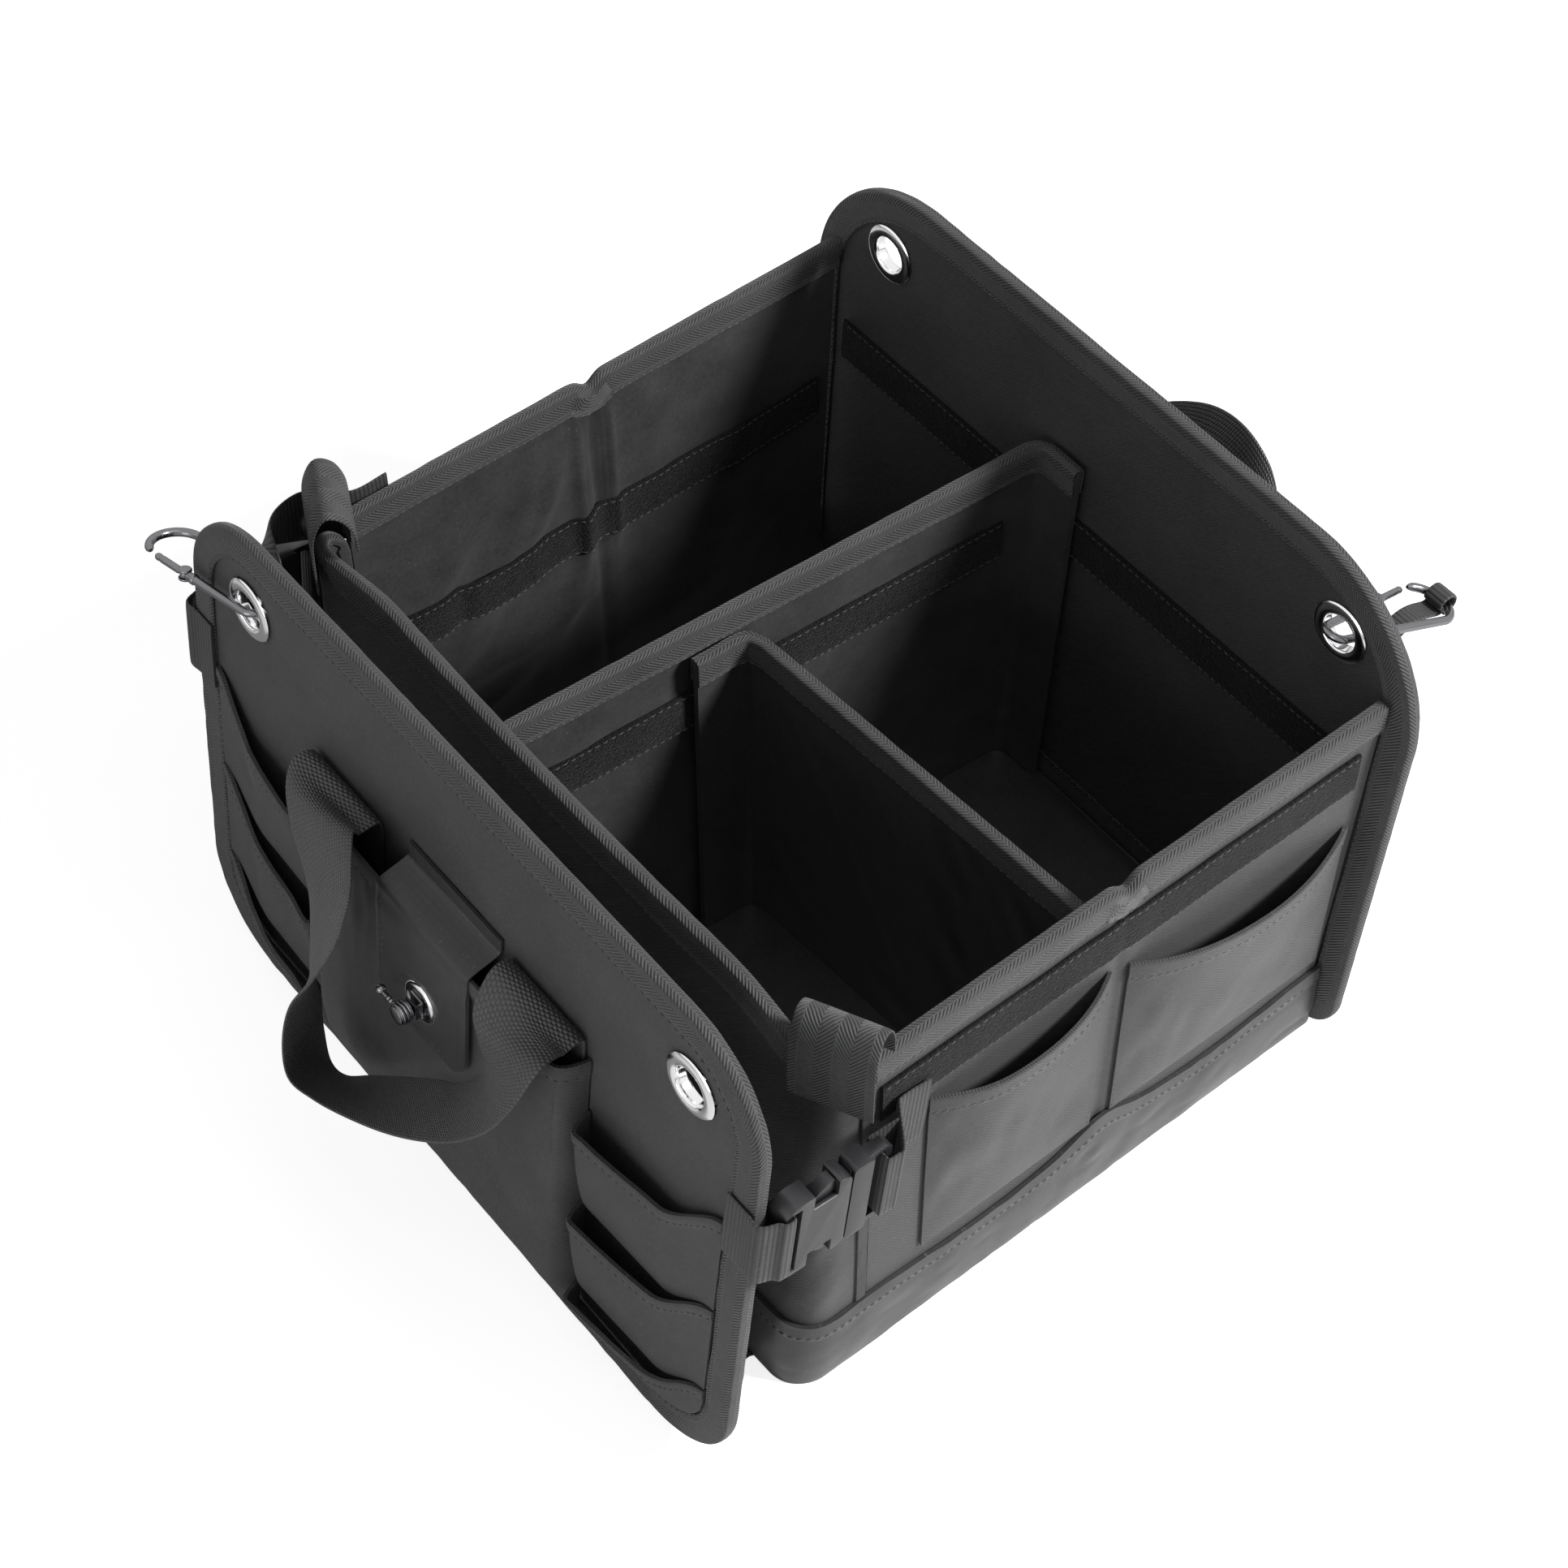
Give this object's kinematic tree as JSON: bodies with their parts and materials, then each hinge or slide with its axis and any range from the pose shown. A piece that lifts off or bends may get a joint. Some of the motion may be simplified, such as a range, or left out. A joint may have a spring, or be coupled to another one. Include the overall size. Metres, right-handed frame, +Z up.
{
  "type": "car trunk organizer",
  "caption": "Collapsible black fabric car trunk organizer with dividers, outer pockets, a buckled front tool flap, webbing handles, grommets and clip-on carabiners.",
  "frame": {"origin": "on the floor under the middle of the box", "axes": "+X towards the right side wall, +Y towards the back panel, +Z up"},
  "size_m": [0.4284, 0.4931, 0.2788],
  "materials": {
    "woven_polyester": "matte woven polyester",
    "coated_polyester": "smooth coated polyester",
    "herringbone_tape": "herringbone twill tape",
    "hook_and_loop": "looped pile",
    "webbing": "ribbed webbing",
    "base_board": "cloth over stiff board",
    "chrome": "bright plated steel",
    "gunmetal": "dark plated steel",
    "buckle_plastic": "moulded black plastic"
  },
  "bodies": {
    "organizer": {"back_panel": "woven_polyester", "back_pocket_lower": "woven_polyester", "back_pocket_upper": "woven_polyester", "base_board": "base_board", "binding_back_panel": "herringbone_tape", "binding_cross_divider": "herringbone_tape", "binding_front_flap": "herringbone_tape", "binding_front_wall": "herringbone_tape", "binding_long_divider": "herringbone_tape", "binding_wall_left": "herringbone_tape", "binding_wall_right": "herringbone_tape", "bottom_tray": "coated_polyester", "buckle_female_left": "buckle_plastic", "buckle_female_right": "buckle_plastic", "buckle_male_left": "buckle_plastic", "buckle_male_right": "buckle_plastic", "carabiner_back_body": "gunmetal", "carabiner_front_body": "gunmetal", "centre_pocket": "woven_polyester", "corner_tab_left": "herringbone_tape", "corner_tab_right": "herringbone_tape", "cross_divider": "woven_polyester", "flap_strap_left": "webbing", "flap_strap_right": "webbing", "front_flap": "woven_polyester", "front_wall": "woven_polyester", "grommet_back_left": "chrome", "grommet_back_right": "chrome", "grommet_flap_left": "chrome", "grommet_flap_right": "chrome", "handle_back": "webbing", "handle_front": "webbing", "lock_plate": "chrome", "long_divider": "woven_polyester", "loop_strip_back": "hook_and_loop", "loop_strip_left_inner": "hook_and_loop", "loop_strip_left_outer": "hook_and_loop", "loop_strip_long_divider": "hook_and_loop", "loop_strip_right_inner": "hook_and_loop", "loop_strip_right_outer": "hook_and_loop", "pocket_left_front": "woven_polyester", "pocket_left_rear": "woven_polyester", "pocket_right_front": "woven_polyester", "pocket_right_rear": "woven_polyester", "pocket_tongue": "coated_polyester", "strap_back_right": "webbing", "strap_front_left": "webbing", "tool_pocket_left_lower": "woven_polyester", "tool_pocket_left_middle": "woven_polyester", "tool_pocket_left_upper": "woven_polyester", "tool_pocket_right_lower": "woven_polyester", "tool_pocket_right_middle": "woven_polyester", "tool_pocket_right_upper": "woven_polyester", "wall_left": "woven_polyester", "wall_right": "woven_polyester", "wall_strap_left": "webbing", "wall_strap_right": "webbing"},
    "knob": {"lock_knob": "gunmetal"},
    "gate_front": {"carabiner_front_gate": "gunmetal"},
    "gate_back": {"carabiner_back_gate": "gunmetal"}
  },
  "joints": [
    {"name": "lock_turn", "type": "hinge", "parent": "organizer", "child": "knob", "pos_m": [0, -0.23077, 0.14578], "axis": [0, -0.9947, 0.1028], "range_deg": [0, 90]},
    {"name": "front_gate", "type": "hinge", "parent": "organizer", "child": "gate_front", "pos_m": [-0.18871, -0.20416, 0.23197], "axis": [0.2048, -0.2717, -0.9403], "range_deg": [0, 28], "stiffness_Nm_per_rad": 0.02, "springref_deg": -17.19},
    {"name": "back_gate", "type": "hinge", "parent": "organizer", "child": "gate_back", "pos_m": [0.13547, 0.18247, 0.22551], "axis": [0, -0.3859, -0.9225], "range_deg": [0, 28], "stiffness_Nm_per_rad": 0.02, "springref_deg": -17.19}
  ]
}
